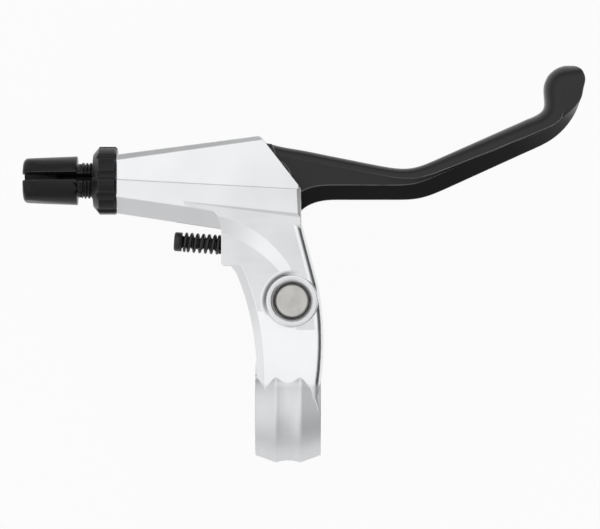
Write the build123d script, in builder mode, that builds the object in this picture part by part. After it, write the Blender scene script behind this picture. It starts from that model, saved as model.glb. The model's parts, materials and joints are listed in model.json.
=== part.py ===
from build123d import *
from math import asin, atan2, cos, hypot, radians, sin, sqrt, tan
import os

os.makedirs("parts", exist_ok=True)

# Frame: origin at the centre of the handlebar clamp, X along the handlebar,
# Y forward from the handlebar to the blade, Z up along the pivot axle.

# Handlebar clamp
bar_diameter = 22.2
clamp_width = 18.0
clamp_wall = 3.75
clamp_edge_wall = 1.7
clamp_groove_depth = 0.6
clamp_rib_spacing = 6.6
clamp_rib_round = 1.5
clamp_slit = 1.6
ear_thickness = 4.8
ear_width = 12.5

# Clamp bolt
clamp_bolt_diameter = 5.0
clamp_bolt_length = 14.0
clamp_bolt_head_diameter = 8.5
clamp_bolt_head_height = 5.0
clamp_bolt_recess = 3.0
clamp_bolt_bar_wall = 2.8
hex_key = 4.0
hex_socket_depth = 2.6
clamp_bolt_edge = 0.4

# Pivot
pivot_x = 1.1
pivot_y = 30.0
boss_diameter = 14.2
boss_rise = 0.7
boss_rim_chamfer = 0.8
boss_edge_round = 0.4
boss_foot = 1.6
axle_diameter = 6.0
axle_head_diameter = 9.8
axle_head_height = 1.7
axle_head_chamfer = 0.75
axle_head_sink = 0.3
axle_tail = 1.6
clip_thickness = 0.8
clip_diameter = 10.4
clip_groove_depth = 0.6
clip_opening = 5.0
clip_lug_width = 2.4
clip_rim_gap = 0.5
axle_end_chamfer = 0.4
bush_wall = 1.0
bush_flange_wall = 2.6
bush_flange_thickness = 0.55
bush_gap = 0.6

# Lever
lever_thickness = 9.8
eye_diameter = 14.0
cable_lever_arm = 33.2
hook_x = -5.0
hook_diameter = 12.0
nipple_diameter = 7.0
nipple_pocket_depth = 8.2
cable_slot = 2.2
blade_bevel = 4.3
blade_rear_land = 1.2
blade_crown = 0.35
blade_nose = 0.62
bulb_nose = 0.26
blade_swell = 1.2
blade_root_half = 10.0
blade_root_front = 0.6
blade_root_rear = 1.1
blade_root_run = 4.5
blade_rear_y = 27.9
bend_front = (32.4, 35.7)
bend_rear_x = 35.9
neck = (70.0, 52.4)
heel = (78.1, 47.1)
tip_left = 69.3
tip_right = 81.8
tip_top = 65.1
tip_round = 6.0
front_radii = [18.0, 3.2, 6.8]
rear_radii = [11.0, 24.0, 20.0, 3.6]
section_counts = (5, 9, 6, 5)
section_bunching = 0.6
bevel_fade_start = 1.7
bevel_fade_span = 0.8
bevel_fade_most = 0.96
web_corner_low = (0.6, -1.6)
web_corner_high = (2.6, 0.6)

# Clearances
lever_side_clearance = 0.4
lever_edge_clearance = 0.8
running_clearance = 0.05
seat_clearance = 0.02
head_clearance = 0.2
nipple_clearance = 0.2
rest_gap = 0.25
spring_gap = 0.15

# Bracket arm and housing
arm_wall = 2.7
web_recess = 1.4
ridge_rise = 1.0
housing_left = -47.2
housing_right = 3.6
housing_boss_length = 11.0
housing_corner_round = 1.6
housing_end_bevel = 1.2
slant_foot = 2.3
slant_run = 0.775
ridge_length = 32.2
ridge_left_drop = 6.0
ridge_right_drop = 10.3
ridge_step_slope = 50.0
panel_step = 0.35
arm_overlap = 7.0
ramp_below_rib = 1.25
ramp_foot = 3.0
lug_face_x = -18.4
lug_depth = 5.8
lug_round = 1.0
lug_hollow = 6.5
lug_ledge = 2.6
lug_neck = 4.1
lug_neck_drop = 1.9
arm_bevel = 2.2
arm_round = 2.4
arm_bow = 0.3
arm_bow_drop = 10.5
arm_waist_rise = 0.352
arm_foot_rise = 3.352
arm_flare = 1.4
arm_flare_drop = 5.2
arm_shoulder_rise = 5.0
arm_neck = 0.2
arm_neck_drop = 4.8
step_low_points = [(-21.5, 19.3), (-11.6, 15.1), (-3.4, 8.2)]
step_high_points = [(-21.5, 23.6), (-10.3, 19.2), (-0.6, 9.2)]
step_end = 1.0
slot_wall_drop = 1.8
edge_margin = 0.05
cut_overrun = 1.0

# Adjuster and lock ring
adjuster_thread = 10.0
adjuster_neck_diameter = 9.35
adjuster_neck_length = 1.4
adjuster_head_length = 14.9
adjuster_head_diameter = 13.5
adjuster_end_diameter = 12.4
adjuster_end_round = 1.5
adjuster_flat_depth = 0.4
adjuster_reveal = 4.5
adjuster_engagement = 9.5
adjuster_slot_turn = 11.0
cable_casing_diameter = 6.1
cable_casing_depth = 9.0
lock_ring_diameter = 18.8
lock_ring_width = 6.6
lock_ring_front_diameter = 14.6
lock_ring_chamfer = 1.7
lock_ring_lobes = 7
lock_ring_groove_width = 3.2
lock_ring_groove_depth = 0.7
lock_ring_rim_chamfer = 0.5
lock_ring_turn = 8.0

# Reach screw and its spring
reach_tilt = 4.3
reach_lever_arm = 15.4
reach_screw_diameter = 3.5
reach_head_diameter = 5.3
reach_head_height = 2.2
reach_head_round = 0.6
reach_spring_length = 11.0
spring_wire = 0.75
spring_outer_diameter = 5.6
spring_turns = 5.7
reach_hex_key = 2.0
reach_hex_depth = 1.2

# Sizes that follow from those above
bar_radius = bar_diameter / 2
rib_radius = bar_radius + clamp_wall
edge_radius = bar_radius + clamp_edge_wall
groove_radius = rib_radius - clamp_groove_depth
rib_x = clamp_rib_spacing / 2
ring_side = clamp_width / 2
lever_half = lever_thickness / 2
slot_half = lever_half + lever_side_clearance
arm_half = slot_half + arm_wall
web_half = arm_half - web_recess
boss_radius = boss_diameter / 2
boss_half = arm_half + boss_rise
axle_radius = axle_diameter / 2
axle_head_radius = axle_head_diameter / 2
axle_groove_radius = axle_radius - clip_groove_depth
bush_bore = axle_radius + running_clearance
bush_radius = bush_bore + bush_wall
flange_radius = bush_bore + bush_flange_wall
flange_top = slot_half - running_clearance
eye_face = flange_top - bush_flange_thickness
eye_radius = eye_diameter / 2
hook_radius = hook_diameter / 2
cable_y = pivot_y + cable_lever_arm
channel_left = housing_left + housing_boss_length
reach_y = pivot_y + reach_lever_arm
lug_bottom_y = reach_y - lug_depth
thread_radius = adjuster_thread / 2
ring_right = housing_left - running_clearance
ring_left = ring_right - lock_ring_width
head_right = ring_left - adjuster_reveal
head_left = head_right - adjuster_head_length
bolt_end = housing_left + adjuster_engagement
clamp_bolt_radius = clamp_bolt_diameter / 2
clamp_bolt_y = bar_radius + clamp_bolt_bar_wall + clamp_bolt_radius
ear_top = -arm_half - clamp_slit
ear_bottom = ear_top - ear_thickness
bolt_seat = ear_bottom + clamp_bolt_recess
far = 120.0

pivot = Vector(pivot_x, pivot_y)
hook = Vector(hook_x, cable_y)
pivot_plane = Plane((pivot_x, pivot_y, 0))
pivot_axis = Axis((pivot_x, pivot_y, 0), (0, 0, 1))
cable_axis = Axis((0, cable_y, 0), (1, 0, 0))
cable_plane = Plane((0, cable_y, 0), x_dir=(1, 0, 0), z_dir=(0, 0, 1))
upwards = (Align.CENTER, Align.CENTER, Align.MIN)
downwards = (Align.CENTER, Align.CENTER, Align.MAX)

# Clamp ring, upper half: two ribs with a shallow groove between them and sloping shoulders
with BuildPart() as ring:
    with BuildSketch() as ring_profile:
        with BuildLine():
            Polyline((-ring_side, 0), (-ring_side, edge_radius), (-rib_x, rib_radius))
            ThreePointArc((-rib_x, rib_radius), (0, groove_radius), (rib_x, rib_radius))
            Polyline((rib_x, rib_radius), (ring_side, edge_radius), (ring_side, 0), (-ring_side, 0))
        make_face()
        fillet(ring_profile.vertices().group_by(Axis.Y)[-1], clamp_rib_round)
    revolve(axis=Axis.X, revolution_arc=180)

# Arm, upper half: plan outline cut to a side profile that ramps up to the ring
ramp_radius = rib_radius - ramp_below_rib
ramp_foot_y = pivot_y - ramp_foot
ramp_angle = asin(ramp_radius / hypot(ramp_foot_y, web_half)) - atan2(web_half, ramp_foot_y)
ramp_touch = (ramp_radius * sin(ramp_angle), ramp_radius * cos(ramp_angle))
ramp_top_y = ramp_foot_y - web_recess / tan(ramp_angle)
arm_top_y = cable_y - arm_overlap


def runs_within(edge, left, right, low, high):
    # Whether an upper edge of the arm runs along Y inside these limits of X and Y
    box = edge.bounding_box(tolerance=1e-4)
    across = box.min.X > left - edge_margin and box.max.X < right + edge_margin
    along = box.min.Y > low - edge_margin and box.max.Y < high + edge_margin
    return across and along and box.min.Z > web_half - edge_margin and box.size.Y > edge_margin


with BuildPart() as arm:
    with BuildSketch() as arm_plan:
        with BuildLine():
            waist = (-ring_side + arm_bow, ramp_touch[0] + arm_waist_rise)
            left_top = (lug_face_x + lug_neck, lug_bottom_y - lug_neck_drop)
            right_top = (housing_right + arm_neck, arm_top_y - arm_neck_drop)
            right_low = (pivot_x + boss_radius, pivot_y + arm_shoulder_rise)
            right_bulge = (pivot_x + boss_radius + arm_flare, pivot_y - arm_flare_drop)
            right_foot = (ring_side, ramp_touch[0] + arm_foot_rise)
            hollow_bend = lug_hollow * (1 - sqrt(0.5))
            hollow_low = (lug_face_x, arm_top_y - lug_hollow)
            hollow_top = (lug_face_x - lug_hollow, arm_top_y)
            ThreePointArc(waist, (-ring_side - arm_bow, pivot_y - arm_bow_drop), left_top)
            Polyline(left_top, (lug_face_x + lug_ledge, lug_bottom_y), (lug_face_x, lug_bottom_y), hollow_low)
            ThreePointArc(hollow_low, (lug_face_x - hollow_bend, arm_top_y - hollow_bend), hollow_top)
            Polyline(hollow_top, (housing_right, arm_top_y), right_top, right_low)
            ThreePointArc(right_low, right_bulge, right_foot)
            Polyline(right_foot, (ring_side, 0), (waist[0], 0), waist)
        make_face()
    extrude(amount=rib_radius)
    with BuildSketch(Plane.YZ) as arm_side:
        with BuildLine():
            Polyline((0, 0), (0, ramp_touch[1]), ramp_touch, (ramp_top_y, arm_half),
                     (far, arm_half), (far, 0), close=True)
        make_face()
    extrude(amount=far, both=True, mode=Mode.INTERSECT)

    # Lower web to the left of the pivot, below a sloping step
    for height, points, edge_x, floor_y in (
        (web_half, step_low_points, -step_end, -ramp_foot),
        (arm_half, step_high_points, step_end, ramp_top_y - pivot_y),
    ):
        with BuildSketch(pivot_plane.offset(height)):
            with BuildLine():
                ThreePointArc(*points)
                Polyline(points[2], (edge_x, 0), (edge_x, floor_y), (points[0][0], floor_y), points[0])
            make_face()
    loft(ruled=True, mode=Mode.SUBTRACT)

    # Rounded lug corner, bevelled left flank and rounded right flank
    fillet(arm.edges().filter_by(Axis.Z).sort_by_distance((lug_face_x, lug_bottom_y))[0], lug_round)
    left_flank = arm.edges().filter_by(
        lambda edge: runs_within(edge, lug_face_x + lug_round, pivot_x - boss_radius, waist[1], lug_bottom_y))
    chamfer(left_flank, arm_bevel)
    right_flank = arm.edges().filter_by(
        lambda edge: runs_within(edge, housing_right, far, ramp_touch[0], arm_top_y))
    fillet(right_flank, arm_round)

# Housing, upper half: a tapered faceted body round the cable line, with a fine step beside its ridge
# Each corner is given from the cable line and from the arm's upper surface
housing_corners = {
    housing_left: [
        (7.1, -2.4), (5.5, -1.0), (panel_step, -panel_step), (0, 0), (-4.6, -0.4), (-9.1, -4.4),
    ],
    housing_right: [
        (13.7, -1.0), (12.5, 0.1), (panel_step - 2.7, ridge_rise - panel_step), (-2.7, ridge_rise),
        (-11.9, ridge_rise - 0.4), (-16.8, -3.9),
    ],
}
slant_foot_y = cable_y - slant_foot
with BuildPart() as housing:
    for end_x, corners in housing_corners.items():
        outline = [(cable_y + along, arm_half + rise) for along, rise in corners]
        with BuildSketch(Plane.YZ.offset(end_x)):
            with BuildLine():
                Polyline((outline[0][0], 0), *outline, (outline[-1][0], 0), close=True)
            make_face()
    loft(ruled=True)
    # Upper surface of the arm, stepped down from the ridge
    with BuildSketch(Plane.XY.offset(arm_half)):
        with BuildLine():
            ridge_left = housing_right - ridge_length
            ridge_right = housing_right + ridge_rise
            Polyline((ridge_left, cable_y - ridge_left_drop), (ridge_right, cable_y - ridge_right_drop),
                     (ridge_right, pivot_y), (ridge_left, pivot_y), close=True)
        make_face()
    extrude(amount=ridge_rise, taper=-ridge_step_slope, mode=Mode.SUBTRACT)
    # Bevelled right end of the ridge
    with BuildSketch(Plane.XZ):
        with BuildLine():
            ridge_top = arm_half + ridge_rise
            bevel_foot = ridge_top - housing_end_bevel
            Polyline((housing_right - housing_end_bevel, ridge_top), (housing_right, bevel_foot),
                     (far, bevel_foot), (far, ridge_top), close=True)
        make_face()
    extrude(amount=-far, mode=Mode.SUBTRACT)
    # Slanted front corner where the blade comes out, rounded at its apex
    (left_front, _), (right_front, _) = housing_corners[housing_left][0], housing_corners[housing_right][0]
    front_rise = (right_front - left_front) / (housing_right - housing_left)
    apex_run = (right_front + slant_foot) / (1 + front_rise * slant_run)
    apex = (housing_right - slant_run * apex_run, slant_foot_y + apex_run)
    with BuildSketch() as slant:
        with BuildLine():
            Polyline((housing_left, cable_y + left_front), apex, (housing_right, slant_foot_y),
                     (far, slant_foot_y), (far, far), (housing_left, far), close=True)
        make_face()
        fillet(slant.vertices().sort_by_distance(apex)[0], housing_corner_round)
    extrude(amount=far, mode=Mode.SUBTRACT)

with BuildPart() as bracket:
    add(ring.part)
    add(arm.part)
    add(housing.part)
    with BuildSketch():
        with Locations(pivot):
            Circle(boss_radius)
    extrude(amount=boss_half)
    boss_rim = bracket.edges().filter_by(GeomType.CIRCLE).filter_by_position(Axis.Z, boss_half, boss_half)
    fillet(boss_rim, boss_edge_round)
    # Hollow foot of the boss on the lower web
    with BuildSketch(Plane((pivot_x, pivot_y, 0), x_dir=(0, 1, 0), z_dir=(1, 0, 0))):
        with BuildLine():
            foot_out, foot_up = boss_radius + boss_foot, web_half + boss_foot
            foot_bend = boss_foot * (1 - sqrt(0.5))
            Polyline((boss_radius, foot_up), (0, foot_up), (0, 0), (foot_out, 0), (foot_out, web_half))
            ThreePointArc((foot_out, web_half), (boss_radius + foot_bend, web_half + foot_bend),
                          (boss_radius, foot_up))
        make_face()
    revolve(axis=pivot_axis, revolution_arc=180)
    mirror(about=Plane.XY)

    # Ear of the split clamp, on the underside
    with BuildSketch(Plane.XY.offset(ear_bottom)):
        with Locations((0, clamp_bolt_y)):
            Circle(ear_width / 2)
        Rectangle(ear_width, clamp_bolt_y, align=(Align.CENTER, Align.MIN))
    extrude(amount=ear_thickness)
    with Locations(Location((0, 0, 0), (0, 90, 0))):
        Cylinder(bar_radius, far, mode=Mode.SUBTRACT)
    with BuildSketch(Plane.XY.offset(ear_top)):
        Rectangle(far, clamp_bolt_y + ear_width / 2, align=(Align.CENTER, Align.MIN))
    extrude(amount=clamp_slit, mode=Mode.SUBTRACT)
    with Locations((0, clamp_bolt_y, ear_bottom)):
        Cylinder(clamp_bolt_head_diameter / 2 + head_clearance, clamp_bolt_recess, align=upwards,
                 mode=Mode.SUBTRACT)
        Cylinder(clamp_bolt_radius + head_clearance, ear_thickness, align=upwards, mode=Mode.SUBTRACT)
    with Locations((0, clamp_bolt_y, bolt_seat)):
        Cylinder(clamp_bolt_radius + seat_clearance, clamp_bolt_length + cut_overrun, align=upwards,
                 mode=Mode.SUBTRACT)

    # Slot for the lever, open to the front and to the right
    with BuildSketch() as lever_slot:
        with Locations(pivot):
            Circle(eye_radius + lever_edge_clearance)
        with Locations(hook):
            Circle(hook_radius + lever_edge_clearance)
        make_hull()
        with BuildLine():
            slot_floor = pivot_y - eye_radius - lever_edge_clearance
            rear_wall = cable_y - hook_radius
            Polyline((pivot_x, slot_floor), (far, slot_floor), (far, far), (channel_left, far),
                     (channel_left, rear_wall), (hook_x, rear_wall - slot_wall_drop), close=True)
        make_face()
    extrude(amount=slot_half, both=True, mode=Mode.SUBTRACT)

    # Pivot hole with a seat for the axle head
    with Locations(pivot):
        Cylinder(axle_radius + seat_clearance, far, mode=Mode.SUBTRACT)
    head_seat = boss_half - axle_head_sink - axle_head_height
    with Locations((pivot_x, pivot_y, head_seat)):
        Cylinder(axle_head_radius + head_clearance, far, align=upwards, mode=Mode.SUBTRACT)
    seat_rim = bracket.edges().filter_by(GeomType.CIRCLE).filter_by_position(Axis.Z, boss_half, boss_half)
    chamfer(seat_rim.sort_by(SortBy.RADIUS)[0], boss_rim_chamfer)

    # Threaded hole for the adjuster, with a slot to let the cable in from the front
    with BuildSketch(Plane.YZ.offset(housing_left)):
        with Locations((cable_y, 0)):
            Circle(thread_radius + running_clearance)
            Rectangle(far, cable_slot, align=(Align.MIN, Align.CENTER))
    extrude(amount=housing_boss_length + cut_overrun, mode=Mode.SUBTRACT)

    # Threaded hole for the reach screw
    reach_plane = Plane((lug_face_x, reach_y, 0), x_dir=(0, 0, 1),
                        z_dir=(cos(radians(reach_tilt)), -sin(radians(reach_tilt)), 0))
    with BuildSketch(reach_plane.offset(-reach_screw_diameter)):
        Circle(reach_screw_diameter / 2 + running_clearance)
    extrude(amount=reach_screw_diameter + pivot_x - lug_face_x, mode=Mode.SUBTRACT)

bracket.part.label = "bracket"
export_step(bracket.part, "parts/bracket.step")

# Plan edges of the blade, seen from the pivot: straight runs joined by tangent arcs
root_front = (hook_x - pivot_x + blade_root_front, cable_lever_arm + blade_root_half)
root_rear = (housing_right - pivot_x - blade_root_rear, cable_lever_arm - blade_root_half)
tip_middle = (tip_right - tip_round + blade_swell, tip_top)
front_corners = [bend_front, neck, (tip_left, tip_top)]
rear_corners = [(bend_rear_x, blade_rear_y), heel, (tip_right, tip_top)]
with BuildLine(pivot_plane) as front_line:
    FilletPolyline(root_front, *front_corners, tip_middle, radius=front_radii)
with BuildLine(pivot_plane) as rear_line:
    FilletPolyline(root_rear, (root_rear[0] + blade_root_run, blade_rear_y), *rear_corners, tip_middle,
                   radius=rear_radii)


def corner_places(plan_edge, corners):
    # How far along the edge, from 0 to 1, it passes each corner
    points = [pivot_plane.from_local_coords(Vertex(*corner, 0)) for corner in corners]
    nearest = [plan_edge.distance_to_with_closest_points(point)[1] for point in points]
    return [0, *(plan_edge.param_at_point(point) for point in nearest), 1]


front_edge, rear_edge = front_line.wires()[0], rear_line.wires()[0]
front_places = corner_places(front_edge, front_corners)
rear_places = corner_places(rear_edge, rear_corners)

# Lever: a flat web with an eye and a cable hook, and a blade lofted through sections between its plan edges
with BuildPart() as lever_blade:
    with BuildSketch() as web_plan:
        with Locations(pivot):
            Circle(eye_radius)
        with Locations(hook):
            Circle(hook_radius)
        make_hull()
        with BuildLine():
            web_front, web_rear = front_edge @ 0, rear_edge @ 0
            web_corner = Vector(hook_x - hook_radius, web_front.Y)
            Polyline(web_front, web_rear, hook, (hook_x - hook_radius, cable_y), web_corner + web_corner_low,
                     web_corner + web_corner_high, close=True)
        make_face()
    extrude(amount=lever_half, both=True)

    # Sections stand closer together towards the neck, and the rear bevel runs out in the bulb
    for span, count in enumerate(section_counts):
        for step in range(count):
            share = step / count
            if span == 1:
                share *= 1 + section_bunching * (1 - share)
            front = front_edge @ (front_places[span] + (front_places[span + 1] - front_places[span]) * share)
            rear = rear_edge @ (rear_places[span] + (rear_places[span + 1] - rear_places[span]) * share)
            across = rear - front
            width = across.length
            progress = span + share
            tip_depth = pivot_y + tip_top - (front.Y + rear.Y) / 2
            shrink = sqrt(1 - max(0, 1 - tip_depth / tip_round) ** 2)
            swelling = min(max(progress - 1, 0), 1)
            half = (lever_half + blade_swell * swelling) * shrink
            shoulder = half - blade_crown * shrink
            fade = min(max(progress - bevel_fade_start, 0) / bevel_fade_span, bevel_fade_most)
            crease = width - blade_bevel * (1 - fade)
            land = blade_rear_land * shrink
            nose = (blade_nose + bulb_nose * swelling) * half
            bulge = nose * (1 - sqrt(0.5))
            with BuildSketch(Plane(front, x_dir=across, z_dir=(across.Y, -across.X, 0))):
                with BuildLine():
                    Line((0, nose - half), (0, half - nose))
                    ThreePointArc((0, half - nose), (bulge, half - bulge), (nose, half))
                    Polyline((nose, half), (crease, shoulder), (width, land), (width, -land),
                             (crease, -shoulder), (nose, -half))
                    ThreePointArc((nose, -half), (bulge, bulge - half), (0, nose - half))
                make_face()
    loft()

    # Eye for the bushes
    with Locations(pivot):
        Cylinder(bush_radius + seat_clearance, far, mode=Mode.SUBTRACT)
    for side in (1, -1):
        with BuildSketch(Plane.XY.offset(side * eye_face)):
            with Locations(pivot):
                Circle(flange_radius + head_clearance)
        extrude(amount=side * far, mode=Mode.SUBTRACT)

    # Pocket for the cable end, with a slot towards the adjuster
    with Locations((hook_x, cable_y, -lever_half)):
        Cylinder(nipple_diameter / 2 + nipple_clearance, nipple_pocket_depth, align=upwards,
                 mode=Mode.SUBTRACT)
        Box(far, cable_slot, lever_half + cable_slot / 2, align=(Align.MAX, Align.CENTER, Align.MIN),
            mode=Mode.SUBTRACT)

lever_blade.part.label = "lever_blade"
export_step(lever_blade.part, "parts/lever_blade.step")

# Flanged bushes, pressed into the eye from both sides
for side, name in ((1, "upper_bush"), (-1, "lower_bush")):
    with BuildPart() as bush:
        with BuildSketch(Plane.XY.offset(side * bush_gap / 2)):
            with Locations(pivot):
                Circle(bush_radius)
        extrude(amount=side * (eye_face - bush_gap / 2))
        with BuildSketch(Plane.XY.offset(side * eye_face)):
            with Locations(pivot):
                Circle(flange_radius)
        extrude(amount=side * bush_flange_thickness)
        with Locations(pivot):
            Cylinder(bush_bore, far, mode=Mode.SUBTRACT)
    bush.part.label = name
    export_step(bush.part, f"parts/{name}.step")

# Pivot axle with a low head above and a clip groove below
axle_bottom = -boss_half - clip_thickness - axle_tail
with BuildPart() as pivot_axle:
    with Locations((pivot_x, pivot_y, head_seat)):
        Cylinder(axle_head_radius, axle_head_height, align=upwards)
    chamfer(pivot_axle.edges().filter_by(GeomType.CIRCLE).sort_by(Axis.Z)[-1], axle_head_chamfer)
    with Locations((pivot_x, pivot_y, axle_bottom)):
        Cylinder(axle_radius, head_seat - axle_bottom, align=upwards)
    chamfer(pivot_axle.edges().filter_by(GeomType.CIRCLE).sort_by(Axis.Z)[0], axle_end_chamfer)
    with BuildSketch(Plane.XY.offset(-boss_half - clip_thickness)):
        with Locations(pivot):
            Circle(axle_radius)
            Circle(axle_groove_radius, mode=Mode.SUBTRACT)
    extrude(amount=clip_thickness, mode=Mode.SUBTRACT)
pivot_axle.part.label = "pivot_axle"
export_step(pivot_axle.part, "parts/pivot_axle.step")

# Retaining clip: an open ring with three inner lugs that reach the groove
with BuildPart() as axle_clip:
    with BuildSketch(Plane.XY.offset(-boss_half - clip_thickness)) as clip_plan:
        with Locations(pivot):
            Circle(clip_diameter / 2)
            Circle(axle_radius + clip_rim_gap, mode=Mode.SUBTRACT)
            with PolarLocations((axle_groove_radius + clip_diameter / 2) / 2, 3, start_angle=90):
                Rectangle(clip_diameter / 2 - axle_groove_radius, clip_lug_width)
            Circle(axle_groove_radius + seat_clearance, mode=Mode.SUBTRACT)
            Rectangle(clip_opening, far, align=(Align.CENTER, Align.MAX), mode=Mode.SUBTRACT)
    extrude(amount=clip_thickness)
axle_clip.part.label = "axle_clip"
export_step(axle_clip.part, "parts/axle_clip.step")

# Clamp bolt: socket cap screw from beneath
with BuildPart() as clamp_bolt:
    with Locations((0, clamp_bolt_y, bolt_seat)):
        Cylinder(clamp_bolt_radius, clamp_bolt_length, align=upwards)
        Cylinder(clamp_bolt_head_diameter / 2, clamp_bolt_head_height, align=downwards)
    with BuildSketch(Plane.XY.offset(bolt_seat - clamp_bolt_head_height)):
        with Locations((0, clamp_bolt_y)):
            RegularPolygon(hex_key / 2, 6, major_radius=False)
    extrude(amount=hex_socket_depth, mode=Mode.SUBTRACT)
    chamfer(clamp_bolt.edges().filter_by(GeomType.CIRCLE).sort_by(Axis.Z)[0], clamp_bolt_edge)
    chamfer(clamp_bolt.edges().filter_by(GeomType.CIRCLE).sort_by(Axis.Z)[-1], clamp_bolt_edge)
clamp_bolt.part.label = "clamp_bolt"
export_step(clamp_bolt.part, "parts/clamp_bolt.step")

# Adjuster: tapered head with flats, plain neck and thread, slotted along its whole length
head_radius = adjuster_head_diameter / 2
end_radius = adjuster_end_diameter / 2
neck_radius = adjuster_neck_diameter / 2
neck_right = head_right + adjuster_neck_length
with BuildPart() as adjuster_head:
    with BuildSketch(cable_plane) as head_profile:
        with BuildLine():
            Polyline((head_left, 0), (head_left, end_radius), (head_right, head_radius), (head_right, 0),
                     close=True)
        make_face()
    revolve(axis=cable_axis)
    fillet(adjuster_head.edges().filter_by(GeomType.CIRCLE).sort_by(Axis.X)[0], adjuster_end_round)
    for end_x, radius, depth in ((head_left, end_radius, adjuster_flat_depth), (head_right, head_radius, 0)):
        with BuildSketch(Plane.YZ.offset(end_x)):
            with Locations((cable_y, 0)):
                RegularPolygon(radius - depth, 6, major_radius=False, rotation=30 - adjuster_slot_turn)
    loft(ruled=True, mode=Mode.INTERSECT)
with BuildPart() as adjuster_bolt:
    add(adjuster_head.part)
    with BuildSketch(cable_plane) as shank_profile:
        with BuildLine():
            Polyline((head_right, 0), (head_right, neck_radius), (neck_right, neck_radius),
                     (neck_right, thread_radius), (bolt_end, thread_radius), (bolt_end, 0), close=True)
        make_face()
    revolve(axis=cable_axis)
    with BuildSketch(Plane.YZ.offset(head_left)):
        with Locations((cable_y, 0)):
            Circle(cable_slot / 2)
            Rectangle(cable_slot, far, align=(Align.CENTER, Align.MIN), rotation=-adjuster_slot_turn)
    extrude(amount=far, mode=Mode.SUBTRACT)
    with BuildSketch(Plane.YZ.offset(head_left)):
        with Locations((cable_y, 0)):
            Circle(cable_casing_diameter / 2)
    extrude(amount=cable_casing_depth, mode=Mode.SUBTRACT)
adjuster_bolt.part.label = "adjuster_bolt"
export_step(adjuster_bolt.part, "parts/adjuster_bolt.step")

# Lock ring: wide lobes between round grooves, with a cable slot on the underside
ring_radius = lock_ring_diameter / 2
front_radius = lock_ring_front_diameter / 2
groove_half = lock_ring_groove_width / 2
groove_sag = lock_ring_groove_depth - (ring_radius - sqrt(ring_radius**2 - groove_half**2))
groove_round = (groove_half**2 + groove_sag**2) / (2 * groove_sag)
with BuildPart() as lock_ring:
    with BuildSketch(cable_plane) as rim_profile:
        with BuildLine():
            Polyline((ring_left, 0), (ring_left, front_radius), (ring_left + lock_ring_chamfer, ring_radius),
                     (ring_right - lock_ring_rim_chamfer, ring_radius),
                     (ring_right, ring_radius - lock_ring_rim_chamfer), (ring_right, 0), close=True)
        make_face()
    revolve(axis=cable_axis)
    with BuildSketch(Plane.YZ.offset(ring_left)):
        with Locations((cable_y, 0)):
            Circle(thread_radius + running_clearance)
            Rectangle(cable_slot, far, align=(Align.CENTER, Align.MAX))
            with PolarLocations(ring_radius - lock_ring_groove_depth + groove_round, lock_ring_lobes,
                                start_angle=lock_ring_turn):
                Circle(groove_round)
    extrude(amount=lock_ring_width, mode=Mode.SUBTRACT)
lock_ring.part.label = "lock_ring"
export_step(lock_ring.part, "parts/lock_ring.step")

# Reach screw: its round tip stops the web of the lever
reach_radius = reach_screw_diameter / 2
web_line = (hook - pivot).normalized()
web_lean = (eye_radius - hook_radius) / (hook - pivot).length
web_normal = web_line * web_lean + Vector(-web_line.Y, web_line.X) * sqrt(1 - web_lean**2)
lug_to_web = (Vector(lug_face_x, reach_y) - pivot).dot(web_normal) - eye_radius
approach = -web_normal.dot(reach_plane.z_dir)
tip_centre = (lug_to_web - reach_radius - rest_gap) / approach
with BuildPart(reach_plane) as reach_screw:
    with Locations((0, 0, -reach_spring_length)):
        Cylinder(reach_radius, reach_spring_length + tip_centre, align=upwards)
        Cylinder(reach_head_diameter / 2, reach_head_height, align=downwards)
    with Locations((0, 0, tip_centre)):
        Sphere(reach_radius)
    head_edges = reach_screw.edges().filter_by(GeomType.CIRCLE).sort_by(Axis.X)
    fillet(head_edges[0], reach_head_round)
    with BuildSketch(reach_plane.offset(-reach_spring_length - reach_head_height)):
        RegularPolygon(reach_hex_key / 2, 6, major_radius=False)
    extrude(amount=reach_hex_depth, mode=Mode.SUBTRACT)
reach_screw.part.label = "reach_screw"
export_step(reach_screw.part, "parts/reach_screw.step")

# Spring round the reach screw, between its head and the lug
coil_radius = (spring_outer_diameter - spring_wire) / 2
coil_height = reach_spring_length - spring_wire - spring_gap
with BuildPart() as reach_spring:
    with BuildLine() as coil:
        coil_start = reach_plane.offset(-coil_height - spring_wire / 2).origin
        Helix(coil_height / spring_turns, coil_height, coil_radius, coil_start, reach_plane.z_dir)
    with BuildSketch(Plane(coil.line @ 0, z_dir=coil.line % 0)):
        Circle(spring_wire / 2)
    sweep(is_frenet=True)
reach_spring.part.label = "reach_spring"
export_step(reach_spring.part, "parts/reach_spring.step")
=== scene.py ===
import json
import math

import bmesh
import bpy
from mathutils import Matrix, Vector


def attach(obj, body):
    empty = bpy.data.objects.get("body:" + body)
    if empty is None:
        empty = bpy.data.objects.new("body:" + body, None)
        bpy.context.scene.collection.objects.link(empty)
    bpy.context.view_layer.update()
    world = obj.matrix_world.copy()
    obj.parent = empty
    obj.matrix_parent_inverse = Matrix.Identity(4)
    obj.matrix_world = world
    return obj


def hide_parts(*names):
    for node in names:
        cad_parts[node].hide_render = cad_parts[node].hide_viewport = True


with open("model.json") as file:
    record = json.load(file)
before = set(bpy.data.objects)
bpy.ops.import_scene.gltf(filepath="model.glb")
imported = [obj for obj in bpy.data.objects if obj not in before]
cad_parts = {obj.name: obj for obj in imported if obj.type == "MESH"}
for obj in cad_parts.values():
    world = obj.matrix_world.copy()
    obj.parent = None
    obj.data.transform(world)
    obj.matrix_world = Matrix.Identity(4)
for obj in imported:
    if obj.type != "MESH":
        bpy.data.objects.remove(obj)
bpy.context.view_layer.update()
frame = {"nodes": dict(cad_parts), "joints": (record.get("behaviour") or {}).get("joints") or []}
nodes = frame["nodes"]
joints = {joint["name"]: joint for joint in frame["joints"]}
print("frame loaded:", len(nodes), "nodes")

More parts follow.
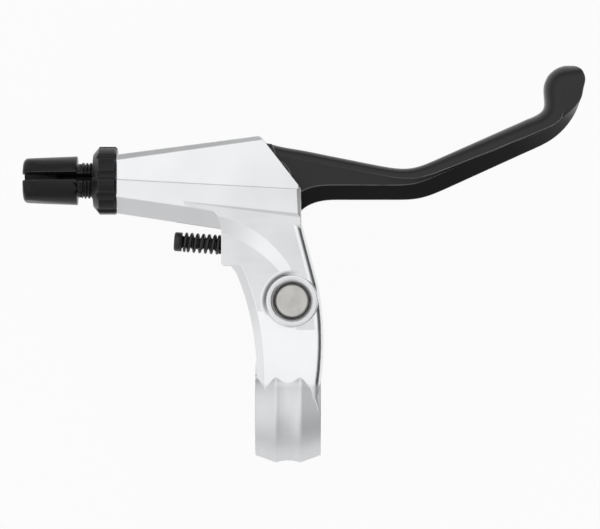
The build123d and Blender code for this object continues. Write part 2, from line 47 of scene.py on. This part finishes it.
mm = 0.001
scene = bpy.context.scene
scene.view_settings.view_transform = "Standard"
pivotAt = joints["lever_pivot"]["pos_m"]
cableAt = joints["adjuster_turn"]["pos_m"]  # on the cable line, at the end of the housing
reachAt = Vector(joints["reach_screw_turn"]["pos_m"])
reachAxis = Vector(joints["reach_screw_turn"]["axis"])


class Wire:  # wraps a socket, so that finishes read as sums
    def __init__(self, tree, socket=None):
        self.tree, self.socket = tree, socket

    def add(self, kind, settings=None, inputs=None, out=0):  # any node: type, settings, sockets
        node = self.tree.nodes.new(kind)
        for key, value in (settings or {}).items():
            setattr(node, key, value)
        for key, value in (inputs or {}).items():
            if isinstance(value, Wire):
                self.tree.links.new(value.socket, node.inputs[key])
            else:
                node.inputs[key].default_value = value
        return Wire(self.tree, node.outputs[out])

    def maths(self, operation, first, second=0.0):
        return self.add("ShaderNodeMath", {"operation": operation}, {0: first, 1: second})

    def __add__(self, other):
        return self.maths("ADD", self, other)

    def __radd__(self, other):
        return self.maths("ADD", other, self)

    def __sub__(self, other):
        return self.maths("SUBTRACT", self, other)

    def __rsub__(self, other):
        return self.maths("SUBTRACT", other, self)

    def __mul__(self, other):
        return self.maths("MULTIPLY", self, other)

    def __rmul__(self, other):
        return self.maths("MULTIPLY", other, self)

    def __truediv__(self, other):
        return self.maths("DIVIDE", self, other)

    def __pow__(self, other):
        return self.maths("POWER", self, other)

    def sine(self):
        return self.maths("SINE", self)

    def step(self, low, high):  # smooth step from 0 at low to 1 at high
        return self.add("ShaderNodeMapRange", {"interpolation_type": "SMOOTHSTEP", "clamp": True},
                        {"Value": self, "From Min": low, "From Max": high})

    def ramp(self, low, high, top):  # straight rise from 0 at low to top at high
        return self.add("ShaderNodeMapRange", {"clamp": True},
                        {"Value": self, "From Min": low, "From Max": high, "To Max": top})

    def between(self, first, second):  # mixes two colours by this value
        return self.add("ShaderNodeMix", {"data_type": "RGBA"}, {0: self, 6: first, 7: second}, out=2)

    def outlets(self, *names):  # other outputs of the node that this one comes from
        return [Wire(self.tree, self.socket.node.outputs[name]) for name in names]

    def apart(self):  # the three numbers of a vector
        return self.add("ShaderNodeSeparateXYZ", None, {0: self}).outlets("X", "Y", "Z")


def grey(value):
    return (value, value, value, 1.0)


def newFinish(name):
    made = bpy.data.materials.new(name)
    made.use_nodes = True
    root = Wire(made.node_tree)
    return made, root, made.node_tree.nodes["Principled BSDF"]


def feed(shader, **sockets):  # links or sets the shader's sockets; _ stands for a space
    for key, value in sockets.items():
        socket = shader.inputs[key.replace("_", " ")]
        if isinstance(value, Wire):
            value.tree.links.new(value.socket, socket)
        else:
            socket.default_value = value


def objectCoords(root, scale=(1, 1, 1), centre=(0, 0, 0)):
    spot = root.add("ShaderNodeTexCoord", out="Object")
    return root.add("ShaderNodeMapping", {"vector_type": "TEXTURE"},
                    {"Vector": spot, "Location": centre, "Scale": [1 / s for s in scale]})


def noise(root, coords, scale, detail):
    return root.add("ShaderNodeTexNoise", None, {"Vector": coords, "Scale": scale, "Detail": detail})


def bump(root, height, strength, distance, normal=None):
    inputs = {"Strength": strength, "Distance": distance, "Height": height}
    if normal:
        inputs["Normal"] = normal
    return root.add("ShaderNodeBump", None, inputs)


def roundedNormal(root, radius):
    return root.add("ShaderNodeBevel", {"samples": 6}, {"Radius": radius})


def edgeMask(root, soft):  # 1 on edges, 0 on faces, from how far the rounded normal leaves the face
    flat = root.add("ShaderNodeNewGeometry", out="Normal")
    dot = root.add("ShaderNodeVectorMath", {"operation": "DOT_PRODUCT"}, {0: soft, 1: flat}, out="Value")
    return (1 - dot).step(0.001, 0.02)


def around(root, centre):  # distance from an upright axis, and the place across and along
    across, along, _ = objectCoords(root, centre=centre).apart()
    return (across * across + along * along) ** 0.5, across, along


# polished forging, brushed round the clamp and dull in the hollows that the wheel can't reach, with painted
# shade darkening the hollow at the boss's foot and a painted dark ring round the pin's seat
forging = {
    "colour": (0.86, 0.865, 0.875, 1.0),
    "dull": (0.82, 0.825, 0.84, 1.0),
    "brushed": (0.74, 0.745, 0.755, 1.0),
    # painted shade: the dark colour put in the hollow at the boss's foot and round the pin's seat
    "hollowPaintedShade": (0.30, 0.30, 0.305, 1.0),
    "roughness": 0.2, "brushedRoughness": 0.48, "hollowRoughness": 0.2,  # the last is added in the hollow
    "streakMark": 0.06, "cloudMark": 0.05, "brushMark": 0.2,  # how far each pattern changes the roughness
    "streakScale": (60, 900, 900), "brushScale": (2200, 40, 40), "cloudScale": 90.0, "waveScale": 260.0,
    "edgeRadius": 0.4 * mm, "ripple": 0.02 * mm, "rippleStrength": 0.25, "streakHeight": 0.3,
    "clampTop": 8.0 * mm, "clampFade": 2.0 * mm,
    "bossRadius": 7.1 * mm, "hollowWidth": 1.6 * mm, "hollowEdge": (-0.1 * mm, 0.2 * mm),
    "hollowFade": 0.5 * mm, "hollowAcross": 0.8, "hollowAlong": 0.6, "hollowSide": (2.5 * mm, 6.5 * mm),
    "hollowPatch": (0.0, 0.4), "polishPatch": (0.3, 0.7),
    # painted shade: a dark ring round the pin's seat
    "seatRadius": 5.75 * mm, "seatFade": 0.5 * mm, "seatPaintedShade": 0.4,
}


# painted shade: where the colour is painted dark at the boss's foot; the same mask also makes the finish
# duller
def bossHollowShade(away, across, along, cloud):  # ring at the foot of the boss, on its front left side
    rim = forging["bossRadius"]
    start, end = forging["hollowEdge"]
    ring = away.step(rim + start, rim + end)
    ring = ring * (1 - away.step(rim + forging["hollowFade"], rim + forging["hollowWidth"]))
    side = along * forging["hollowAlong"] - across * forging["hollowAcross"]
    return ring * side.step(*forging["hollowSide"]) * cloud.step(*forging["hollowPatch"])


def polishedForging():
    made, root, shader = newFinish("polishedForging")
    soft = roundedNormal(root, forging["edgeRadius"])
    forward = objectCoords(root).apart()[1]
    clamp = 1 - forward.step(forging["clampTop"] - forging["clampFade"], forging["clampTop"])
    streaks = noise(root, objectCoords(root, forging["streakScale"]), 1.0, 4.0)  # lines along the housing
    brushing = noise(root, objectCoords(root, forging["brushScale"]), 1.0, 3.0)  # lines round the clamp
    cloud = noise(root, objectCoords(root), forging["cloudScale"], 2.0)  # slow changes in the finish
    waves = noise(root, objectCoords(root), forging["waveScale"], 1.0)
    away, across, along = around(root, pivotAt)
    # mask of the painted shade at the boss's foot, which also raises the roughness there
    hollowPaintedShade = bossHollowShade(away, across, along, cloud)
    # painted shade: a dark ring round the pin, mixed towards the hollow's dark colour
    seatShade = 1 - away.step(forging["seatRadius"] - forging["seatFade"], forging["seatRadius"])
    level = forging["roughness"] + (streaks - 0.5) * forging["streakMark"]
    level = level + (cloud - 0.5) * forging["cloudMark"] + hollowPaintedShade * forging["hollowRoughness"]
    brushed = forging["brushedRoughness"] - forging["roughness"] + (brushing - 0.5) * forging["brushMark"]
    height = waves + streaks * forging["streakHeight"] + clamp * brushing
    polish = cloud.step(*forging["polishPatch"]).between(forging["dull"], forging["colour"])
    polish = clamp.between(polish, forging["brushed"])
    # painted shade darkens the colour in the boss's hollow and round the pin's seat
    feed(shader, Base_Color=(hollowPaintedShade + seatShade * forging["seatPaintedShade"]).between(polish, forging["hollowPaintedShade"]),
         Metallic=1.0, Roughness=level + clamp * brushed,
         Normal=bump(root, height, forging["rippleStrength"], forging["ripple"], soft))
    return made


# satin black anodising: sealed faces, a drier rear bevel and bright edges, partly real wear and partly a
# painted highlight
anodised = {
    "face": (0.0042, 0.0042, 0.0046, 1.0), "wearAndHighlight": (0.2, 0.2, 0.203, 1.0), "specular": 0.15,
    "grainScale": 2600.0, "grain": 0.01 * mm, "grainStrength": 0.2, "grainMark": 0.06,
    "cloudScale": 140.0, "cloudMark": 0.1, "wornPatch": (0.15, 0.4), "rearFacing": (0.2, 0.45),
}
bladeFinish = {"wearAndHighlight": 0.9, "edgeRadius": 0.4 * mm, "roughness": 0.3, "seal": 0.6, "dryRear": 0.6}
adjusterFinish = {"wearAndHighlight": 0.3, "edgeRadius": 0.2 * mm, "roughness": 0.3, "seal": 0.3, "dryRear": 0.1}


def blackAnodised(name, wearAndHighlight, edgeRadius, roughness, seal, dryRear):
    made, root, shader = newFinish(name)
    soft = roundedNormal(root, edgeRadius)
    grain = noise(root, objectCoords(root), anodised["grainScale"], 2.0)  # blasted grain under the colour
    cloud = noise(root, objectCoords(root), anodised["cloudScale"], 2.0)
    # lighter edges: partly wear, partly a painted highlight along the crease
    edges = edgeMask(root, soft) * wearAndHighlight * cloud.step(*anodised["wornPatch"])
    facing = root.add("ShaderNodeTexCoord", out="Normal").apart()[1]
    sealed = seal - (0 - facing).step(*anodised["rearFacing"]) * dryRear
    level = roughness + (cloud - 0.5) * anodised["cloudMark"] + (grain - 0.5) * anodised["grainMark"]
    feed(shader, Base_Color=edges.between(anodised["face"], anodised["wearAndHighlight"]), Roughness=level,
         Specular_IOR_Level=anodised["specular"], Coat_Weight=sealed, Coat_Roughness=roughness,
         Normal=bump(root, grain, anodised["grainStrength"], anodised["grain"], soft))
    return made


# turned, plated and blackened steel
steel = {
    "ring": 0.35 * mm, "ringHeight": 0.01 * mm, "ringStrength": 0.25, "ringMark": 0.02, "edge": 0.2 * mm,
    "cloudScale": 400.0, "cloudMark": 0.12, "darkPatch": (0.25, 0.75),
    # painted shade: the dark colour round the rim of the axle's head
    "headFlat": 4.15 * mm, "rimShadeFade": 0.45 * mm, "rimShade": grey(0.1),
}
axleSteel = {"colour": (0.60, 0.59, 0.57, 1.0), "dark": (0.50, 0.49, 0.47, 1.0), "roughness": 0.33,
             "metallic": 1.0, "rimShading": 0.85}
platedSteel = {"colour": (0.62, 0.62, 0.63, 1.0), "dark": grey(0.5), "roughness": 0.3, "metallic": 1.0,
               "rimShading": 0.0}
blackSteel = {"colour": (0.014, 0.014, 0.015, 1.0), "dark": grey(0.008), "roughness": 0.34, "metallic": 0.0,
              "rimShading": 0.0}


def turnedSteel(name, colour, dark, roughness, metallic, rimShading):
    made, root, shader = newFinish(name)
    away = around(root, pivotAt)[0]
    rings = (away * (2 * math.pi / steel["ring"])).sine()  # marks of the tool
    cloud = noise(root, objectCoords(root), steel["cloudScale"], 3.0)
    soft = roundedNormal(root, steel["edge"])
    base = cloud.step(*steel["darkPatch"]).between(dark, colour)
    # painted shade: the colour is darkened round the rim of the head
    rimShade = away.step(steel["headFlat"], steel["headFlat"] + steel["rimShadeFade"]) * rimShading  # dark round the rim
    feed(shader, Base_Color=rimShade.between(base, steel["rimShade"]), Metallic=metallic,
         Roughness=roughness + (cloud - 0.5) * steel["cloudMark"] + rings * steel["ringMark"],
         Normal=bump(root, rings, steel["ringStrength"], steel["ringHeight"], soft))
    return made


# moulded bushes, dark and slightly grained
bush = {
    "dark": grey(0.03), "light": grey(0.06), "roughness": 0.5, "grainMark": 0.1, "grainScale": 1500.0,
    "grain": 0.02 * mm, "grainStrength": 0.3,
}


def mouldedBush():
    made, root, shader = newFinish("mouldedBush")
    grain = noise(root, objectCoords(root), bush["grainScale"], 2.0)
    feed(shader, Base_Color=grain.between(bush["dark"], bush["light"]),
         Roughness=bush["roughness"] + grain * bush["grainMark"],
         Normal=bump(root, grain, bush["grainStrength"], bush["grain"]))
    return made


finishes = {
    "forging": polishedForging(),
    "blade": blackAnodised("satinBlackBlade", **bladeFinish),
    "adjuster": blackAnodised("satinBlackAdjuster", **adjusterFinish),
    "axle": turnedSteel("turnedAxle", **axleSteel),
    "plated": turnedSteel("platedSteel", **platedSteel),
    "blackSteel": turnedSteel("blackedSteel", **blackSteel),
    "bush": mouldedBush(),
}
dress = {
    "bracket": "forging", "lever_blade": "blade", "pivot_axle": "axle", "axle_clip": "plated",
    "clamp_bolt": "plated", "upper_bush": "bush", "lower_bush": "bush",
}
for name, finish in dress.items():
    slots = nodes[name].material_slots
    for place in slots:
        place.material = finishes[finish]
    if not slots:
        nodes[name].data.materials.append(finishes[finish])
print("finishes on", len(dress), "nodes")


def coilGroup():  # a wire of any number of sides wound into a helix, with closed end turns
    tree = bpy.data.node_groups.new("coil", "GeometryNodeTree")
    sockets = tree.interface
    sockets.new_socket(name="Geometry", in_out="OUTPUT", socket_type="NodeSocketGeometry")
    kinds = {"Turns": "Float", "Radius": "Float", "Height": "Float", "Wire": "Float", "Sides": "Int",
             "Closed": "Float", "Lead": "Float", "Finish": "Material"}
    ids = {}
    for key, kind in kinds.items():
        ids[key] = sockets.new_socket(name=key, in_out="INPUT", socket_type="NodeSocket" + kind).identifier
    root = Wire(tree)
    given = tree.nodes.new("NodeGroupInput")
    ask = {key: Wire(tree, given.outputs[key]) for key in kinds}
    spiral = root.add("GeometryNodeCurveSpiral", None,
                      {"Resolution": 40, "Rotations": ask["Turns"], "Start Radius": ask["Radius"],
                       "End Radius": ask["Radius"], "Height": ask["Height"]})
    x, y, z = root.add("GeometryNodeInputPosition").apart()
    share, closed, lead = z / ask["Height"], ask["Closed"], ask["Lead"]
    rise = share.ramp(0.0, closed, lead) + share.ramp(closed, 1 - closed, 1 - 2 * lead)
    rise = rise + share.ramp(1 - closed, 1.0, lead)
    moved = root.add("ShaderNodeCombineXYZ", None, {"X": x, "Y": y, "Z": rise * ask["Height"]})
    wound = root.add("GeometryNodeSetPosition", None, {"Geometry": spiral, "Position": moved})
    level = root.add("GeometryNodeSetCurveNormal", {"mode": "Z_UP"}, {"Curve": wound})
    ring = root.add("GeometryNodeCurvePrimitiveCircle", None,
                    {"Resolution": ask["Sides"], "Radius": ask["Wire"]})
    tube = root.add("GeometryNodeCurveToMesh", None,
                    {"Curve": level, "Profile Curve": ring, "Fill Caps": True})
    smooth = root.add("GeometryNodeSetShadeSmooth", None, {"Geometry": tube})
    real = root.add("GeometryNodeRealizeInstances", None, {"Geometry": smooth})
    done = root.add("GeometryNodeSetMaterial", None, {"Geometry": real, "Material": ask["Finish"]})
    out = tree.nodes.new("NodeGroupOutput")
    tree.links.new(done.socket, out.inputs[0])
    return tree, ids


coilTree, coilIds = coilGroup()


def settled(thing):  # plain mesh of an object with its modifiers, which are then removed
    bpy.context.view_layer.update()
    mesh = bpy.data.meshes.new_from_object(thing.evaluated_get(bpy.context.evaluated_depsgraph_get()))
    thing.modifiers.clear()
    return mesh


def coil(name, finish, start, axis, values):  # helix that begins at start and runs along axis
    thing = bpy.data.objects.new(name, bpy.data.meshes.new(name))
    scene.collection.objects.link(thing)
    made = thing.modifiers.new("coil", "NODES")
    made.node_group = coilTree
    for key, value in {**values, "Finish": finish}.items():
        made[coilIds[key]] = value
    mesh = settled(thing)
    turn = Vector((0, 0, 1)).rotation_difference(Vector(axis))
    mesh.transform(Matrix.Translation(start) @ turn.to_matrix().to_4x4())
    thing.data = mesh
    return thing


threadSharp = math.radians(28)  # edges that turn further than this stay crisp


def threaded(node, finish, body, start, axis, values):  # copy of a node with a groove cut into it
    piece = nodes[node].copy()
    piece.name, piece.data = node + "Threaded", nodes[node].data.copy()
    piece.parent = None
    scene.collection.objects.link(piece)
    shape = bmesh.new()
    shape.from_mesh(piece.data)
    bmesh.ops.remove_doubles(shape, verts=shape.verts, dist=0.001 * mm)
    shape.to_mesh(piece.data)
    shape.free()
    cutter = coil(node + "Cutter", finish, start, axis, values)
    cut = piece.modifiers.new("groove", "BOOLEAN")
    cut.operation, cut.solver, cut.object = "DIFFERENCE", "EXACT", cutter
    piece.data = settled(piece)
    bpy.data.objects.remove(cutter)
    piece.data.materials.clear()
    piece.data.materials.append(finish)
    piece.data.polygons.foreach_set("material_index", [0] * len(piece.data.polygons))
    piece.data.shade_smooth()
    piece.data.set_sharp_from_angle(angle=threadSharp)
    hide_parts(node)
    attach(piece, body)
    return piece


# adjuster: fine V thread between its neck and the lock ring
adjusterThread = {"Turns": 6.0, "Radius": 5.0 * mm, "Height": 6.0 * mm, "Wire": 0.6 * mm, "Sides": 3,
                  "Closed": 0.25, "Lead": 0.25}
threadReach = 9.65 * mm  # from the end of the housing to where the thread begins
threadStart = (cableAt[0] - threadReach, cableAt[1], cableAt[2])
threaded("adjuster_bolt", finishes["adjuster"], "adjuster", threadStart, (1, 0, 0),
         adjusterThread)
print("adjuster threaded")

# lock ring: lobes between shallow flutes, slotted beneath for the cable
lockRing = {
    "gap": 0.05 * mm, "width": 6.6 * mm, "outer": 9.4 * mm, "front": 7.3 * mm, "chamfer": 1.7 * mm,
    "rim": 0.5 * mm, "bore": 5.05 * mm, "lobes": 10, "flute": math.radians(16.3), "depth": 0.7 * mm,
    "turn": math.radians(9.6), "slot": 2.2 * mm, "steps": 450, "chamferSteps": 6, "sharp": math.radians(25),
}


def makeLockRing(form):
    left = cableAt[0] - form["gap"] - form["width"]
    cuts, rise = form["chamferSteps"], form["outer"] - form["front"]
    bevel = [(form["chamfer"] * k / cuts, form["front"] + rise * k / cuts) for k in range(cuts + 1)]
    edge = [(form["width"] - form["rim"], form["outer"]), (form["width"], form["outer"] - form["rim"])]
    profile = [(0.0, form["bore"]), *bevel, *edge, (form["width"], form["bore"])]
    pitch = 2 * math.pi / form["lobes"]
    points, faces, count = [], [], len(profile)
    for step in range(form["steps"] + 1):
        for x, reach in profile:
            gap = math.asin(form["slot"] / 2 / reach)
            angle = -math.pi / 2 + gap + (2 * math.pi - 2 * gap) * step / form["steps"]
            off = abs((angle - form["turn"] + pitch / 2) % pitch - pitch / 2) / (form["flute"] / 2)
            radius = min(reach, form["outer"] - form["depth"] * max(0.0, 1 - off * off))
            y, z = radius * math.cos(angle), radius * math.sin(angle)
            points.append((left + x, cableAt[1] + y, cableAt[2] + z))
    for step in range(form["steps"]):
        here, there = step * count, (step + 1) * count
        for k in range(count):
            after = (k + 1) % count
            faces.append((here + k, here + after, there + after, there + k))
    last = form["steps"] * count
    faces += [tuple(reversed(range(count))), tuple(range(last, last + count))]  # walls of the slot
    mesh = bpy.data.meshes.new("lockRing")
    mesh.from_pydata(points, [], faces)
    shape = bmesh.new()
    shape.from_mesh(mesh)
    bmesh.ops.recalc_face_normals(shape, faces=shape.faces)
    shape.to_mesh(mesh)
    shape.free()
    mesh.shade_smooth()
    mesh.set_sharp_from_angle(angle=form["sharp"])
    mesh.materials.append(finishes["adjuster"])
    ring = bpy.data.objects.new("lockRing", mesh)
    scene.collection.objects.link(ring)
    return ring


ring = makeLockRing(lockRing)
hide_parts("lock_ring")
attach(ring, "lock_ring")
print("lock ring fluted:", len(ring.data.polygons), "faces")

# reach screw: coarse thread that shows between the coils
reachThread = {"Turns": 15.0, "Radius": 1.78 * mm, "Height": 10.5 * mm, "Wire": 0.4 * mm, "Sides": 3,
               "Closed": 0.25, "Lead": 0.25}
reachReach = 10.8 * mm  # from the joint's place back to where the thread begins, beside the screw's head
reachStart = reachAt - reachAxis * reachReach
threaded("reach_screw", finishes["blackSteel"], "reach_screw", reachStart, reachAxis,
         reachThread)
print("reach screw threaded")

# spring with closed end turns between the screw's head and the lug
springForm = {"Turns": 7.2, "Radius": 2.4 * mm, "Height": 10.05 * mm, "Wire": 0.39 * mm, "Sides": 14,
              "Closed": 0.125, "Lead": 0.07}
springReach = 10.45 * mm
springStart = reachAt - reachAxis * springReach
spring = coil("reachSpring", finishes["blackSteel"], springStart, reachAxis, springForm)
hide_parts("reach_spring")
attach(spring, "bracket")
print("spring wound:", len(spring.data.polygons), "faces")

# studio: pale floor, soft dome, camera straight above
floorForm = {"size": 3.0, "height": -45.0 * mm, "paper": grey(0.9), "white": 0.9}


def makeFloor(form):
    size = form["size"]
    mesh = bpy.data.meshes.new("floor")
    corners = [(-size, -size), (size, -size), (size, size), (-size, size)]
    mesh.from_pydata([(x, y, form["height"]) for x, y in corners], [], [(0, 1, 2, 3)])
    floor = bpy.data.objects.new("floor", mesh)
    scene.collection.objects.link(floor)
    made = bpy.data.materials.new("paleFloor")
    made.use_nodes = True
    tree = made.node_tree
    tree.nodes.clear()
    root = Wire(tree)
    seen = root.add("ShaderNodeLightPath", out="Is Camera Ray")
    glossy, passing = seen.outlets("Is Glossy Ray", "Is Transmission Ray")
    share = (seen + glossy + passing).step(0.0, 1.0) * form["white"]  # the rest keeps the shadow
    paper = root.add("ShaderNodeBsdfDiffuse", None, {"Color": form["paper"]})
    glow = root.add("ShaderNodeEmission", None, {"Color": grey(1.0), "Strength": 1.0})
    lit = root.add("ShaderNodeMixShader", None, {0: share, 1: paper, 2: glow})
    below = root.add("ShaderNodeNewGeometry", out="Backfacing")
    clear = root.add("ShaderNodeBsdfTransparent")
    whole = root.add("ShaderNodeMixShader", None, {0: below, 1: lit, 2: clear})
    out = tree.nodes.new("ShaderNodeOutputMaterial")
    tree.links.new(whole.socket, out.inputs[0])
    mesh.materials.append(made)


# each pair is where a part of the dome begins and where it is full, by direction
dome = {
    "zenith": 1.06, "horizon": 0.62, "rise": (0.15, 0.7),
    "opening": (0.99, 0.9985), "openingDark": 0.3,
    "wall": 0.66, "wallRear": (0.12, 0.42), "wallLeft": (0.12, 0.4),
    "front": (0.5, 0.9), "frontTop": (0.1, 0.45), "frontDark": 0.3,
    "right": (0.5, 0.8), "rightDark": 0.88,
}


def makeDome(form):
    world = bpy.data.worlds.new("softDome")
    scene.world = world
    world.use_nodes = True
    tree = world.node_tree
    tree.nodes.clear()
    root = Wire(tree)
    x, y, z = root.add("ShaderNodeTexCoord", out="Generated").apart()
    opening = z.step(*form["opening"])  # where the camera looks through the overhead softbox
    wall = (0 - y).step(*form["wallRear"]) * (1 - (0 - x).step(*form["wallLeft"]))  # behind the clamp
    front = y.step(*form["front"]) * (1 - z.step(*form["frontTop"]))
    right = x.step(*form["right"])  # dark side of the room
    level = form["horizon"] + z.step(*form["rise"]) * (form["zenith"] - form["horizon"])
    level = level * (1 - opening * form["openingDark"])
    level = level * (1 - wall) + wall * form["wall"]
    level = level * (1 - front * form["frontDark"]) * (1 - right * form["rightDark"])
    glow = root.add("ShaderNodeBackground", None, {"Color": grey(1.0), "Strength": level})
    out = tree.nodes.new("ShaderNodeOutputWorld")
    tree.links.new(glow.socket, out.inputs[0])


view = {
    "lens": 200.0, "sensor": 36.0, "x": 3.3 * mm, "y": 40.0 * mm, "field": 165.0 * mm, "faceZ": 7.0 * mm,
    "near": 0.01, "far": 20.0,
}


def makeCamera(form):
    lens = bpy.data.cameras.new("camera")
    lens.lens, lens.sensor_width = form["lens"], form["sensor"]
    camera = bpy.data.objects.new("camera", lens)
    above = form["field"] * form["lens"] / form["sensor"]  # so that the field fits at the arm's upper face
    camera.location = (form["x"], form["y"], above + form["faceZ"])
    scene.collection.objects.link(camera)
    scene.camera = camera
    lens.clip_start, lens.clip_end = form["near"], form["far"]


makeFloor(floorForm)
makeDome(dome)
makeCamera(view)
print("studio ready")
